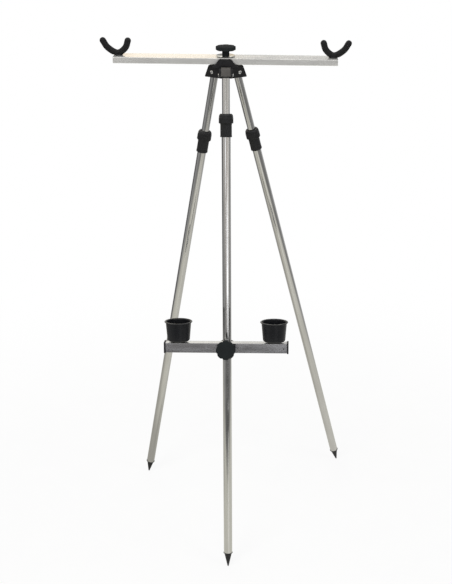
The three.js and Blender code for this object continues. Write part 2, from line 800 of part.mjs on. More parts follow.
// Stand the tripod on the floor, centred on its own outline
root.updateMatrixWorld(true);
const outline = new THREE.Box3().setFromObject(root, true);
root.position.set(-(outline.min.x + outline.max.x) / 2, -(outline.min.y + outline.max.y) / 2, -outline.min.z);

export default root;
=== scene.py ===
import json
import math

import bmesh
import bpy
import numpy as np
from mathutils import Matrix, Vector


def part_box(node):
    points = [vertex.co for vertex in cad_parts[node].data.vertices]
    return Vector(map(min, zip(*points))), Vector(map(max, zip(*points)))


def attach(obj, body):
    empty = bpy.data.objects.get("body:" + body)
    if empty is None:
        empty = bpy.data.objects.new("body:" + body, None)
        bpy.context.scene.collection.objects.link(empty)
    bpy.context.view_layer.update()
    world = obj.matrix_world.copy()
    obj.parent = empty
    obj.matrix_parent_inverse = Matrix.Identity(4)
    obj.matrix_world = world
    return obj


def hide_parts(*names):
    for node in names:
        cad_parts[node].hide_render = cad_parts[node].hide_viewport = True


# Surf rod tripod: smooth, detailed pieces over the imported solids. Lengths are in millimetres
# until a piece is placed, and in metres from then on.

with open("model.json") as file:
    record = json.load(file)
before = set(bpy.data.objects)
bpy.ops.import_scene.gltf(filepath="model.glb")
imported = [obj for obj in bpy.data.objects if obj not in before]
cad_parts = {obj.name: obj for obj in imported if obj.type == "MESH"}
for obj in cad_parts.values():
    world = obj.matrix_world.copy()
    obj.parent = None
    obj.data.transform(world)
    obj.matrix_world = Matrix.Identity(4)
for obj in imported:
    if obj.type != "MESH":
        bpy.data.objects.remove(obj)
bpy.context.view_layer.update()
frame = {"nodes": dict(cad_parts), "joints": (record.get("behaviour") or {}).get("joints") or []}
MM = 0.001
bpy.context.scene.view_settings.view_transform = "Standard"


# Frames of the moving parts

JOINTS = {joint["name"]: joint for joint in frame["joints"]}
SADDLE_DEGREES = -2.6


def axes(origin, z, y):
    """A frame with its origin in metres, its Z along z and its Y along y."""
    z, y = Vector(z).normalized(), Vector(y).normalized()
    x = y.cross(z)
    rows = [[x[i], y[i], z[i], origin[i]] for i in range(3)]
    return Matrix(rows + [[0, 0, 0, 1]])


def raised(matrix, height):
    """A frame moved along its own Z by a height in millimetres."""
    return matrix @ Matrix.Translation((0, 0, height * MM))


def leg_frame(side):
    """A leg's frame: its origin on the hinge pin, Z up the tubes and Y along the pin."""
    fold, extend = JOINTS[f"leg_{side}_fold"], JOINTS[f"leg_{side}_extend"]
    return axes(fold["pos_m"], -Vector(extend["axis"]), -Vector(fold["axis"]))


def node_low(node, matrix):
    """A node's lowest height in a frame, in millimetres."""
    inverse = matrix.inverted()
    return min((inverse @ v.co).z for v in frame["nodes"][node].data.vertices) / MM


LEGS = {side: leg_frame(side) for side in ("front", "right", "left")}

# The cup bar's frame: Z up the front leg, X out of the leg's front and Y along the bar
swivel, turn = JOINTS["cup_swivel"], JOINTS["cup_knob_turn"]
RACK = axes(swivel["pos_m"], swivel["axis"], Vector(swivel["axis"]).cross(Vector(turn["axis"])))
CUP_KNOB = axes(turn["pos_m"], turn["axis"], RACK.col[1][:3])

SADDLE_TURN = Matrix.Rotation(math.radians(SADDLE_DEGREES), 4, "Z")
TOP_KNOB = Matrix.Translation(JOINTS["top_knob_turn"]["pos_m"]) @ SADDLE_TURN
BAR_LOW, BAR_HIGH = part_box("top_bar")
BAR_CENTRE = (BAR_LOW + BAR_HIGH) / 2
BAR = Matrix.Translation(BAR_CENTRE) @ SADDLE_TURN
PIVOT_HEIGHT = JOINTS["leg_front_fold"]["pos_m"][2]
HEAD = Matrix.Translation((BAR_CENTRE.x, BAR_CENTRE.y, PIVOT_HEIGHT))


# Sizes of the solids

SEAT_GAP = 0.3
TUBE_WALL = 1.2
UPPER_DIAMETER, LOWER_DIAMETER = 19.0, 22.0
UPPER_TOP = -7.3
SHOWN_UPPER = {"front": 92.0, "right": 158.0, "left": 158.0}
NUT_RADIUS, NUT_HEIGHT, NUT_ROOF, NUT_DOME = 17.75, 23.0, 3.0, 8.0
BODY_RADIUS, BODY_LENGTH = 14.4, 32.5
NECK_RADIUS, NECK_HEIGHT, NECK_ROOM = 13.0, 15.0, 2.5
TUBE_TOP_DEPTH = NUT_HEIGHT + SEAT_GAP + NECK_ROOM
BUSH_RING, BUSH_LENGTH = 6.0, 20.0
FOOT_SPIGOT, SPIKE_LENGTH = 25.0, 40.0
PIN_HALF = 16.7

BAR_LENGTH, BAR_HEIGHT, BAR_WALL = 541.0, 15.0, 1.6
HEX_HEIGHT, STUD_BELOW_NUT = 6.5, 6.0
STUD_RADIUS, STUD_GRIP = 4.0, 18.0
DISH_THICKNESS, WASHER_THICKNESS = 1.6, 1.5
REST_INSET, REST_SCREW_LENGTH = 11.0, 12.0

CUP_BAR_SIDE, CUP_BAR_WALL = 25.0, 1.5
CUP_SPACING = 239.0
PAD_TOP = 4.0
CUP_SCREW_LENGTH = 10.8

# How far the cups and rivets stand out from the leg's axis, which is 0.5 more than in the solids
CUP_MIDDLE = 29.6


# Node materials

class Nodes:
    """A node tree with short calls to add and join nodes."""

    def __init__(self, name, owners=bpy.data.materials):
        self.material = owners.new(name)
        self.material.use_nodes = True
        self.tree = self.material.node_tree
        self.shader = self.tree.nodes.get("Principled BSDF")

    def add(self, kind, settings=None, **inputs):
        """A new node with its settings and its inputs."""
        node = self.tree.nodes.new(kind)
        for key, value in (settings or {}).items():
            setattr(node, key, value)
        for key, value in inputs.items():
            self.put(node, key.replace("_", " "), value)
        return node

    def put(self, node, key, value):
        """Joins or sets an input of a node, by its name or its number."""
        socket = node.inputs[int(key)] if key.isdigit() else node.inputs[key]
        if isinstance(value, bpy.types.NodeSocket):
            self.tree.links.new(value, socket)
        else:
            socket.default_value = value

    def set(self, **inputs):
        """Joins or sets inputs of the surface's own shader."""
        for key, value in inputs.items():
            self.put(self.shader, key.replace("_", " "), value)

    def place(self):
        """The point in the piece's own frame, in millimetres, with Z along the grain."""
        return self.add("ShaderNodeAttribute", {"attribute_name": "place"}).outputs["Vector"]

    def noise(self, place, stretch, detail, roughness):
        """Noise with as many cells per millimetre as stretch gives for each axis."""
        scaled = self.add("ShaderNodeMapping", Vector=place, Scale=stretch)
        noise = self.add("ShaderNodeTexNoise", Vector=scaled.outputs["Vector"], Scale=1.0,
                         Detail=detail, Roughness=roughness)
        return noise.outputs["Fac"]

    def span(self, value, low, high, start=0.0, end=1.0):
        """A smooth step from start to end as the value goes from low to high."""
        node = self.add("ShaderNodeMapRange", {"interpolation_type": "SMOOTHSTEP"}, Value=value,
                        From_Min=low, From_Max=high, To_Min=start, To_Max=end)
        return node.outputs["Result"]

    def math(self, operation, a, b=0.0):
        node = self.add("ShaderNodeMath", {"operation": operation})
        self.put(node, "0", a)
        self.put(node, "1", b)
        return node.outputs["Value"]

    def blend(self, factor, a, b):
        """A mix of two colours, each a socket or a tuple."""
        node = self.add("ShaderNodeMix", {"data_type": "RGBA"})
        self.put(node, "0", factor)
        self.put(node, "6", a if isinstance(a, bpy.types.NodeSocket) else (*a, 1.0))
        self.put(node, "7", b if isinstance(b, bpy.types.NodeSocket) else (*b, 1.0))
        return node.outputs[2]

    def mix(self, factor, a, b):
        """A mix of two shader nodes."""
        node = self.add("ShaderNodeMixShader", Fac=factor)
        self.tree.links.new(a.outputs[0], node.inputs[1])
        self.tree.links.new(b.outputs[0], node.inputs[2])
        return node

    def ramp(self, value, stops):
        """A smooth colour ramp through stops of a position and a colour or grey level."""
        node = self.add("ShaderNodeValToRGB", Fac=value)
        node.color_ramp.interpolation = "EASE"
        elements = node.color_ramp.elements
        while len(elements) < len(stops):
            elements.new(0.5)
        for element, (position, tone) in zip(elements, stops):
            element.position = position
            element.color = (*(tone if isinstance(tone, tuple) else (tone,) * 3), 1.0)
        return node.outputs["Color"]

    def band(self, value, start, full, falling, end):
        """One between full and falling, and zero before start and after end."""
        rise = self.span(value, start, full)
        return self.math("MULTIPLY", rise, self.span(value, falling, end, 1.0, 0.0))

    def bearing(self, x, y):
        """The bearing of a direction as a share of a turn: 0.5 is -Y, 0.75 is +X."""
        angle = self.math("ARCTAN2", x, self.math("MULTIPLY", y, -1.0))
        return self.math("ADD", self.math("DIVIDE", angle, 2 * math.pi), 0.5)

    def length(self, x, y):
        """The length of a flat vector."""
        squares = self.math("MULTIPLY", x, x), self.math("MULTIPLY", y, y)
        return self.math("SQRT", self.math("ADD", *squares))

    def bump(self, height, strength, distance, normal=None):
        """A bump from a height, its distance in millimetres, over another bump if one is given."""
        node = self.add("ShaderNodeBump", Height=height, Strength=strength, Distance=distance * MM)
        if normal is not None:
            self.put(node, "Normal", normal)
        return node.outputs["Normal"]


def aluminium(name, light, dark, rough, metallic=1.0):
    """Drawn, satin aluminium: lengthwise die lines, soft handling marks and fine scratches."""
    n = Nodes(name)
    place = n.place()
    lines = n.noise(place, (1.3, 1.3, 0.004), 5.0, 0.7)
    fine = n.noise(place, (5.0, 5.0, 0.02), 3.0, 0.6)
    smudge = n.noise(place, (0.06, 0.06, 0.012), 4.0, 0.6)
    scratch = n.span(n.noise(place, (2.2, 2.2, 0.11), 6.0, 0.8), 0.60, 0.66)
    tone = n.math("ADD", n.math("MULTIPLY", lines, 0.55), n.math("MULTIPLY", smudge, 0.45))
    colour = n.blend(n.span(tone, 0.38, 0.62), dark, light)
    colour = n.blend(n.math("MULTIPLY", scratch, 0.12), colour, (0.9, 0.9, 0.88))
    roughness = n.math("ADD", n.span(smudge, 0.3, 0.7, rough - 0.06, rough + 0.08),
                       n.span(fine, 0.3, 0.7, -0.03, 0.03))
    normal = n.bump(lines, 0.03, 0.02)
    normal = n.bump(fine, 0.03, 0.005, normal)
    normal = n.bump(scratch, 0.02, 0.005, normal)
    n.set(Base_Color=colour, Metallic=metallic, Roughness=roughness, Normal=normal)
    return n.material


def plastic(name, base, worn, rough, grain=0.12, gloss=0.35, dark_below=None):
    """Moulded plastic: spark grain, slow change of tone and pale scuffs, black below a height."""
    n = Nodes(name)
    place = n.place()
    speckle = n.noise(place, (2.6, 2.6, 2.6), 3.0, 0.6)
    slow = n.noise(place, (0.05, 0.05, 0.05), 3.0, 0.5)
    scuff = n.span(n.noise(place, (0.35, 0.9, 0.5), 6.0, 0.75), 0.60, 0.70)
    colour = n.blend(n.span(slow, 0.3, 0.7, 0.0, 0.6), base, worn)
    colour = n.blend(n.math("MULTIPLY", scuff, 0.2), colour, tuple(2.0 * c for c in worn))
    if dark_below is not None:
        height = n.add("ShaderNodeSeparateXYZ", Vector=place).outputs["Z"]
        pale = n.span(height, dark_below - 0.4, dark_below)
        colour = n.blend(pale, (0.012, 0.012, 0.012), colour)
    roughness = n.math("ADD", n.span(slow, 0.3, 0.7, rough - 0.05, rough + 0.05),
                       n.span(speckle, 0.3, 0.7, -0.04, 0.06))
    normal = n.bump(speckle, grain, 0.06)
    n.set(Base_Color=colour, Roughness=roughness, Normal=normal, Specular_IOR_Level=gloss)
    return n.material


def rubber_foam(name, base):
    """Soft black rubber: fine pores, and a dusty bloom."""
    n = Nodes(name)
    place = n.place()
    pores = n.add("ShaderNodeTexVoronoi", Vector=place, Scale=1.7).outputs["Distance"]
    bloom = n.noise(place, (0.12, 0.12, 0.12), 5.0, 0.65)
    colour = n.blend(n.span(bloom, 0.35, 0.75), base, tuple(2.0 * c for c in base))
    roughness = n.span(bloom, 0.3, 0.7, 0.62, 0.82)
    normal = n.bump(n.span(pores, 0.0, 0.5), 0.22, 0.08)
    n.set(Base_Color=colour, Roughness=roughness, Normal=normal, Specular_IOR_Level=0.35)
    return n.material


def turned_steel(name, base, rough):
    """Plated steel with fine turned rings."""
    n = Nodes(name)
    place = n.place()
    split = n.add("ShaderNodeSeparateXYZ", Vector=place)
    radius = n.length(split.outputs["X"], split.outputs["Y"])
    point = n.add("ShaderNodeCombineXYZ", X=radius, Y=n.math("MULTIPLY", split.outputs["Z"], 0.3))
    rings = n.noise(point.outputs["Vector"], (7.0, 1.0, 1.0), 4.0, 0.7)
    dull = n.noise(place, (0.15, 0.15, 0.15), 4.0, 0.6)
    colour = n.blend(n.span(dull, 0.35, 0.7), base, tuple(0.72 * c for c in base))
    roughness = n.math("ADD", n.span(dull, 0.3, 0.7, rough - 0.05, rough + 0.1),
                       n.span(rings, 0.3, 0.7, -0.03, 0.03))
    n.set(Base_Color=colour, Metallic=1.0, Roughness=roughness, Normal=n.bump(rings, 0.2, 0.02))
    return n.material


LEG_METAL = aluminium("leg_aluminium", (0.66, 0.655, 0.64), (0.56, 0.555, 0.54), 0.12)
BAR_METAL = aluminium("bar_aluminium", (0.91, 0.90, 0.87), (0.87, 0.86, 0.83), 0.20, 0.64)
RACK_METAL = aluminium("rack_aluminium", (0.48, 0.485, 0.51), (0.41, 0.415, 0.43), 0.20)
BLACK = plastic("black_nylon", (0.008, 0.008, 0.009), (0.012, 0.012, 0.013), 0.48)
CUP_BLACK = plastic("cup_plastic", (0.0065, 0.007, 0.0085), (0.008, 0.0085, 0.010), 0.30,
                    grain=0.03)
KNOB_BLACK = plastic("knob_plastic", (0.017, 0.019, 0.020), (0.020, 0.023, 0.024), 0.60,
                     grain=0.08, gloss=0.02)

# The hinge block is grey above its collar, and its colour darkens to black below the collar's top
GREY_TONES = (0.070, 0.065, 0.060), (0.085, 0.079, 0.072)
COLLAR_TOP = -3.8
GREY = plastic("grey_nylon", *GREY_TONES, 0.48, gloss=0.4)
BLOCK_GREY = plastic("block_nylon", *GREY_TONES, 0.48, gloss=0.4, dark_below=COLLAR_TOP)

RUBBER = rubber_foam("rest_rubber", (0.005, 0.005, 0.0055))
STEEL = turned_steel("plated_steel", (0.70, 0.70, 0.69), 0.20)
DISH_STEEL = turned_steel("washer_steel", (0.50, 0.50, 0.48), 0.16)
RIVET_STEEL = turned_steel("rivet_steel", (0.16, 0.16, 0.16), 0.35)


# Outlines and skins

# Lengths below this count as none
TINY = 1e-6

# How a corner is rounded: its steps by its radius, and the share of an edge that it may take
SMALL_RADIUS, SMALL_STEPS, LARGE_STEPS = 1.0, 3, 6
EDGE_SHARE = 0.49


def fillet(points, closed=False):
    """A polyline whose corners (a, b, radius) are rounded. A point without a radius stays."""
    result = []
    count = len(points)
    for i, point in enumerate(points):
        radius = point[2] if len(point) > 2 else 0.0
        here = Vector(point[:2])
        if radius <= 0 or (not closed and i in (0, count - 1)):
            result.append(here)
            continue
        before = Vector(points[i - 1][:2]) - here
        after = Vector(points[(i + 1) % count][:2]) - here
        half = before.angle(after) / 2
        room = EDGE_SHARE * min(before.length, after.length)
        reach = min(radius / math.tan(half), room)
        start = here + before.normalized() * reach
        end = here + after.normalized() * reach
        steps = SMALL_STEPS if radius < SMALL_RADIUS else LARGE_STEPS
        for k in range(steps + 1):
            t = k / steps
            result.append((1 - t) ** 2 * start + 2 * t * (1 - t) * here + t * t * end)
    return result


def turns(sides):
    """The angles of a round of equal steps."""
    return [2 * math.pi * k / sides for k in range(sides)]


def ring(sides, height, radius_at):
    """Points round Z at a height, with the radius that radius_at gives for each angle."""
    polar = [(radius_at(angle), angle) for angle in turns(sides)]
    return [(r * math.cos(angle), r * math.sin(angle), height) for r, angle in polar]


def skin(rows, closed=False):
    """Vertices and faces over rings of points, where a row of one point is a pole."""
    verts = [point for row in rows for point in row]
    numbers = []
    for row in rows:
        first = numbers[-1].stop if numbers else 0
        numbers.append(range(first, first + len(row)))
    pairs = list(zip(numbers, numbers[1:]))
    if closed:
        pairs.append((numbers[-1], numbers[0]))
    faces = []
    for low, high in pairs:
        sides = max(len(low), len(high))
        for k in range(sides if sides > 1 else 0):
            j = (k + 1) % sides
            if len(low) == 1:
                faces.append((low[0], high[j], high[k]))
            elif len(high) == 1:
                faces.append((low[k], low[j], high[0]))
            else:
                faces.append((low[k], low[j], high[j], high[k]))
    return verts, faces


def lathe(profile, sides, wave=None, closed=False):
    """A rounded profile of radius and height, turned about Z.

    wave(angle, radius, height) gives a radius to use in place of the profile's.
    """
    rows = []
    for radius, height in fillet(profile, closed):
        if radius < TINY:
            rows.append([(0.0, 0.0, height)])
        elif wave:
            rows.append(ring(sides, height, lambda angle: wave(angle, radius, height)))
        else:
            rows.append(ring(sides, height, lambda angle: radius))
    return skin(rows, closed)


def collar(bore, radius, low, high, bore_edge, outer_edge, sides):
    """A round piece with a straight bore, its edges rounded."""
    profile = [(bore, low, bore_edge), (radius, low, outer_edge), (radius, high, outer_edge),
               (bore, high, bore_edge)]
    return lathe(profile, sides, closed=True)


# Pieces

# Points this close are one, in metres, and edges are flat or sharp by their angle
MERGE, CAD_MERGE = 1e-7, 2e-6
FLAT, SHARP = math.radians(1.5), math.radians(32)

# Which of a frame's axes lie across, across and along the grain
GRAIN = {"X": [1, 2, 0], "Y": [2, 0, 1], "Z": [0, 1, 2]}


def finish_mesh(mesh):
    """Points merged, faces out, smooth shading."""
    shape = bmesh.new()
    shape.from_mesh(mesh)
    bmesh.ops.remove_doubles(shape, verts=shape.verts, dist=MERGE)
    bmesh.ops.recalc_face_normals(shape, faces=shape.faces)
    shape.to_mesh(mesh)
    shape.free()
    mesh.polygons.foreach_set("use_smooth", [True] * len(mesh.polygons))
    mesh.update()


def store_place(mesh, inverse, order):
    """Keeps each vertex's place in the piece's own frame, in millimetres, for the materials."""
    mesh.attributes.new("place", "FLOAT_VECTOR", "POINT")
    local = np.array([inverse @ vertex.co for vertex in mesh.vertices]) / MM
    data = local[:, order].astype(np.float32).ravel()
    mesh.attributes["place"].data.foreach_set("vector", data)


def piece(name, mesh, matrix, body, material, nodes, grain):
    """A finished object from a mesh that is already in place, in metres."""
    finish_mesh(mesh)
    store_place(mesh, matrix.inverted(), GRAIN[grain])
    thing = bpy.data.objects.new(name, mesh)
    bpy.context.scene.collection.objects.link(thing)
    mesh.materials.clear()
    mesh.materials.append(material)
    weighted = thing.modifiers.new("weighted", "WEIGHTED_NORMAL")
    weighted.keep_sharp = True
    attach(thing, body)
    if nodes:
        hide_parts(*nodes)


def build(name, part, matrix, body, material, nodes=()):
    """A piece from vertices and faces in millimetres in the frame matrix, its grain along Z."""
    verts, faces = part
    mesh = bpy.data.meshes.new(name)
    mesh.from_pydata([matrix @ (Vector(v) * MM) for v in verts], [], faces)
    piece(name, mesh, matrix, body, material, nodes, "Z")


def softened(node, edge, matrix, body, material, grain="Z"):
    """A copy of a CAD node with its flat faces joined and its edges rounded."""
    name = f"{node}_soft"
    shape = bmesh.new()
    shape.from_mesh(frame["nodes"][node].data)
    bmesh.ops.remove_doubles(shape, verts=shape.verts, dist=CAD_MERGE)
    bmesh.ops.dissolve_limit(shape, angle_limit=FLAT, verts=shape.verts, edges=shape.edges)
    sharp = [e for e in shape.edges if len(e.link_faces) == 2 and e.calc_face_angle(0) > SHARP]
    bmesh.ops.bevel(shape, geom=sharp, offset=edge * MM, offset_type="OFFSET", segments=2,
                    profile=0.6, affect="EDGES", clamp_overlap=True)
    mesh = bpy.data.meshes.new(name)
    shape.to_mesh(mesh)
    shape.free()
    piece(name, mesh, matrix, body, material, (node,), grain)


# Camera

# The viewpoint, solved from the tube edges, tips and bar ends: pixels, metres and degrees
PICTURE_HEIGHT, FOCAL_LENGTH, VIEW_SHIFT = 584, 1057.8, -40
EYE = (-0.01151, -2.5069, 1.8231)
YAW, PITCH, ROLL = -2.2014, 24.4688, 0.6663


def make_camera():
    data = bpy.data.cameras.new("view")
    data.lens = FOCAL_LENGTH / PICTURE_HEIGHT * data.sensor_width
    data.shift_x = VIEW_SHIFT / PICTURE_HEIGHT
    camera = bpy.data.objects.new("view", data)
    bpy.context.scene.collection.objects.link(camera)
    rotation = Matrix.Rotation(math.radians(YAW), 4, "Z")
    rotation = rotation @ Matrix.Rotation(math.radians(-PITCH), 4, "X")
    rotation = rotation @ Matrix.Rotation(math.radians(-ROLL), 4, "Y")
    rotation = rotation @ Matrix.Rotation(math.pi / 2, 4, "X")
    camera.matrix_world = Matrix.Translation(EYE) @ rotation
    bpy.context.scene.camera = camera


# The room that gloss sees, by bearing: the far floor, the walls, and the walls above them. Its
# front and left are darker than its right and back. All tones are halved, to fit a ramp.
MIRROR_STRENGTH = 2.0
LOW_ROOM = [(0.0, 0.26), (0.12, 0.08), (0.20, 0.07), (0.27, 0.20), (0.36, 0.15), (0.44, 0.08),
            (0.56, 0.08), (0.65, 0.13), (0.75, 0.13), (0.85, 0.26), (1.0, 0.26)]
HIGH_ROOM = [(0.0, (0.77, 0.75, 0.68)), (0.04, (0.56, 0.53, 0.47)), (0.12, (0.66, 0.60, 0.52)),
             (0.27, (0.36, 0.35, 0.34)), (0.43, (0.26, 0.245, 0.235)),
             (0.56, (0.36, 0.335, 0.315)), (0.75, (0.42, 0.42, 0.41)), (0.9, (0.42, 0.42, 0.41)),
             (0.96, (0.50, 0.49, 0.46)), (1.0, (0.77, 0.75, 0.68))]
UPPER_WALLS = [(0.0, (0.53, 0.455, 0.36)), (0.25, (0.42, 0.41, 0.38)), (0.75, 0.18), (0.9, 0.20),
               (1.0, 0.20)]

# Where each part of the room starts and is full, as the Z of a direction, and the ceiling's tones
WALLS_FROM, UPPER_WALLS_FROM = (-0.03, -0.005), (0.14, 0.18)
CEILING = [((0.50, 0.53), 0.12), ((0.66, 0.72), 0.97), ((0.89, 0.94), 0.32)]

# Patches of the room, each a band of bearing and a band of Z
SHELF, SHELF_TONE = ((0.59, 0.62, 0.69, 0.72), (-0.11, -0.08, -0.02, 0.0)), (0.36, 0.35, 0.34)
WINDOWS = [((0.49, 0.50, 0.605, 0.62), (-0.01, 0.005, 0.075, 0.09)),
           ((0.535, 0.55, 0.605, 0.62), (-0.04, -0.02, 0.075, 0.09)),
           ((0.41, 0.43, 0.462, 0.475), (0.095, 0.11, 0.15, 0.165))]
WINDOW_TONE = (0.94, 0.96, 1.0)

# The plain light of the room on matt surfaces, from below to above
SOFT_HEIGHTS = (-0.2, 0.5)
SOFT_LOW, SOFT_HIGH = (0.42, 0.42, 0.41), (0.62, 0.62, 0.62)


def make_world():
    """White to the camera, plain soft light for the surfaces, and the room for their gloss."""
    n = Nodes("studio", bpy.data.worlds)
    bpy.context.scene.world = n.material
    n.tree.nodes.clear()
    direction = n.add("ShaderNodeTexCoord").outputs["Generated"]
    split = n.add("ShaderNodeSeparateXYZ", Vector=direction)
    x, y, z = (split.outputs[key] for key in "XYZ")
    bearing = n.bearing(x, y)

    def patch(bearings, heights):
        return n.math("MULTIPLY", n.band(bearing, *bearings), n.band(z, *heights))

    room = n.blend(n.span(z, *WALLS_FROM), n.ramp(bearing, LOW_ROOM), n.ramp(bearing, HIGH_ROOM))
    room = n.blend(patch(*SHELF), room, SHELF_TONE)
    room = n.blend(n.span(z, *UPPER_WALLS_FROM), room, n.ramp(bearing, UPPER_WALLS))
    for heights, tone in CEILING:
        room = n.blend(n.span(z, *heights), room, (tone, tone, tone))
    windows = patch(*WINDOWS[0])
    for bands in WINDOWS[1:]:
        windows = n.math("MAXIMUM", windows, patch(*bands))
    room = n.blend(windows, room, WINDOW_TONE)
    gloss = n.add("ShaderNodeBackground", Color=room, Strength=MIRROR_STRENGTH)

    soft_tone = n.blend(n.span(z, *SOFT_HEIGHTS), SOFT_LOW, SOFT_HIGH)
    soft = n.add("ShaderNodeBackground", Color=soft_tone)
    white = n.add("ShaderNodeBackground", Color=(1, 1, 1, 1))
    rays = n.add("ShaderNodeLightPath").outputs
    lit = n.mix(rays["Is Glossy Ray"], soft, gloss)
    seen = n.math("MAXIMUM", rays["Is Camera Ray"], rays["Is Transmission Ray"])
    final = n.mix(seen, lit, white)
    output = n.add("ShaderNodeOutputWorld")
    n.tree.links.new(final.outputs[0], output.inputs["Surface"])


def make_lamp(name, place, aim, size, power):
    data = bpy.data.lights.new(name, "AREA")
    data.shape = "RECTANGLE"
    data.size, data.size_y = size
    data.energy = power
    lamp = bpy.data.objects.new(name, data)
    bpy.context.scene.collection.objects.link(lamp)
    towards = (Vector(aim) - Vector(place)).to_track_quat("-Z", "Y")
    lamp.matrix_world = Matrix.Translation(place) @ towards.to_matrix().to_4x4()
    lamp.visible_glossy = False


# The floor, in metres. Gloss sees a paler floor round the feet, a stripe in front of them and
# one bright patch further out, and the camera sees white that keeps the tripod's shadow.
FLOOR_RADIUS, FLOOR_SIDES, FLOOR_HEIGHT = 6.0, 96, -0.0005
PAPER_LOW, PAPER_HIGH = (0.78, 0.78, 0.77), (0.82, 0.82, 0.81)
NEAR_FLOOR = [(0.0, (0.30, 0.295, 0.27)), (0.2, (0.24, 0.235, 0.215)),
              (0.35, (0.36, 0.355, 0.32)), (0.5, (0.38, 0.375, 0.34)), (0.8, (0.37, 0.365, 0.34)),
              (1.0, (0.30, 0.295, 0.27))]
NEAR_CENTRE_Y, NEAR_REACH = -0.35, (1.1, 2.1)
STRIPE_CENTRE_Y, STRIPE, STRIPE_TONE = -0.26, (0.505, 0.53, 0.57, 0.60), (0.49, 0.485, 0.455)
PATCH_CENTRE, PATCH_REACH, PATCH_TONE = (0.75, -2.45, 0), (0.25, 0.6), (0.44, 0.44, 0.43)
GLOW_REACH, GLOW_NEAR, GLOW_FAR = (0.7, 2.0), 0.88, 1.0


def make_floor():
    """A pale round floor of fibrous paper."""
    mesh = bpy.data.meshes.new("floor")
    shape = bmesh.new()
    bmesh.ops.create_circle(shape, cap_ends=True, radius=FLOOR_RADIUS, segments=FLOOR_SIDES)
    shape.to_mesh(mesh)
    shape.free()
    floor = bpy.data.objects.new("floor", mesh)
    bpy.context.scene.collection.objects.link(floor)
    floor.location.z = FLOOR_HEIGHT

    n = Nodes("floor_paper")
    n.tree.nodes.remove(n.shader)
    place = n.add("ShaderNodeTexCoord").outputs["Object"]
    fibre = n.noise(place, (9.0, 9.0, 9.0), 4.0, 0.6)
    paper_tone = n.blend(n.span(fibre, 0.3, 0.7), PAPER_LOW, PAPER_HIGH)
    paper = n.add("ShaderNodeBsdfDiffuse", Color=paper_tone)
    split = n.add("ShaderNodeSeparateXYZ", Vector=place)
    x, y = split.outputs["X"], split.outputs["Y"]

    radius = n.length(x, n.math("ADD", y, -NEAR_CENTRE_Y))
    stripe = n.band(n.bearing(x, n.math("ADD", y, -STRIPE_CENTRE_Y)), *STRIPE)
    near = n.blend(stripe, n.ramp(n.bearing(x, y), NEAR_FLOOR), STRIPE_TONE)
    tone = n.blend(n.span(radius, *NEAR_REACH), near, n.ramp(n.bearing(x, y), LOW_ROOM))
    distance = n.add("ShaderNodeVectorMath", {"operation": "DISTANCE"})
    n.put(distance, "0", place)
    n.put(distance, "1", PATCH_CENTRE)
    bright = n.span(distance.outputs["Value"], *PATCH_REACH, 1.0, 0.0)
    tone = n.blend(bright, tone, PATCH_TONE)
    gloss = n.add("ShaderNodeEmission", Color=tone, Strength=MIRROR_STRENGTH)

    glow = n.add("ShaderNodeEmission", Color=(1, 1, 1, 1), Strength=1.0)
    rays = n.add("ShaderNodeLightPath").outputs
    share = n.span(radius, *GLOW_REACH, GLOW_NEAR, GLOW_FAR)
    lit = n.mix(rays["Is Glossy Ray"], paper, gloss)
    final = n.mix(n.math("MULTIPLY", rays["Is Camera Ray"], share), lit, glow)
    n.tree.links.new(final.outputs[0], n.tree.nodes["Material Output"].inputs["Surface"])
    mesh.materials.append(n.material)


make_camera()
make_world()
make_floor()
make_lamp("key", place=(-1.6, -2.2, 3.4), aim=(0, 0, 0.7), size=(1.6, 1.6), power=60)
make_lamp("fill", place=(2.4, -1.6, 2.2), aim=(0, 0, 0.7), size=(1.4, 1.8), power=26)
make_lamp("back", place=(-0.9, 2.6, 2.8), aim=(0, 0, 0.8), size=(2.2, 1.2), power=16)


# Legs

RIB_COUNT, SIDES_PER_RIB, RIB_DEPTH = 40, 4, 0.55
RIB_FOOT, RIB_TOP = 1.5 - NUT_HEIGHT, -9.7


def tube(diameter, low, high):
    """An open tube with broken edges."""
    radius, edge, sides = diameter / 2, 0.25, 56
    return collar(radius - TUBE_WALL, radius, low, high, edge, edge, sides)


def nut_ribs(angle, radius, height):
    """The twist nut's radius, with fine upright ribs on the outside of its skirt."""
    if radius < NUT_RADIUS - 1.5 or not RIB_FOOT <= height <= RIB_TOP:
        return radius
    ridge = abs(math.sin(RIB_COUNT * angle / 2))
    return radius - RIB_DEPTH * (1 - ridge) ** 2


def nut_part():
    """The twist nut: ribbed skirt, groove, dome, throat and hollow."""
    hollow, throat, crown, groove, dome_steps = 13.3, 10.1, 13.1, 0.45, 10
    shoulder, foot = NUT_RADIUS - groove, -NUT_HEIGHT
    skirt = [(hollow, foot, 0.3), (NUT_RADIUS - 0.7, foot, 0.3), (NUT_RADIUS, foot + 1.0, 0.5),
             (NUT_RADIUS, foot + 1.6), (NUT_RADIUS, foot + 5.0), (NUT_RADIUS, -11.0),
             (NUT_RADIUS, -9.6), (NUT_RADIUS - 0.5, -9.2), (shoulder, -8.2)]
    dome = []
    for k in range(1, dome_steps + 1):
        angle = math.pi / 2 * k / dome_steps
        radius = shoulder - (shoulder - crown) * (1 - math.cos(angle))
        dome.append((radius, NUT_DOME * math.sin(angle) - NUT_DOME))
    inside = [(throat, 0.0, 0.5), (throat, -NUT_ROOF, 0.2), (hollow, -NUT_ROOF, 0.2)]
    return lathe(skirt + dome + inside, RIB_COUNT * SIDES_PER_RIB, nut_ribs, closed=True)


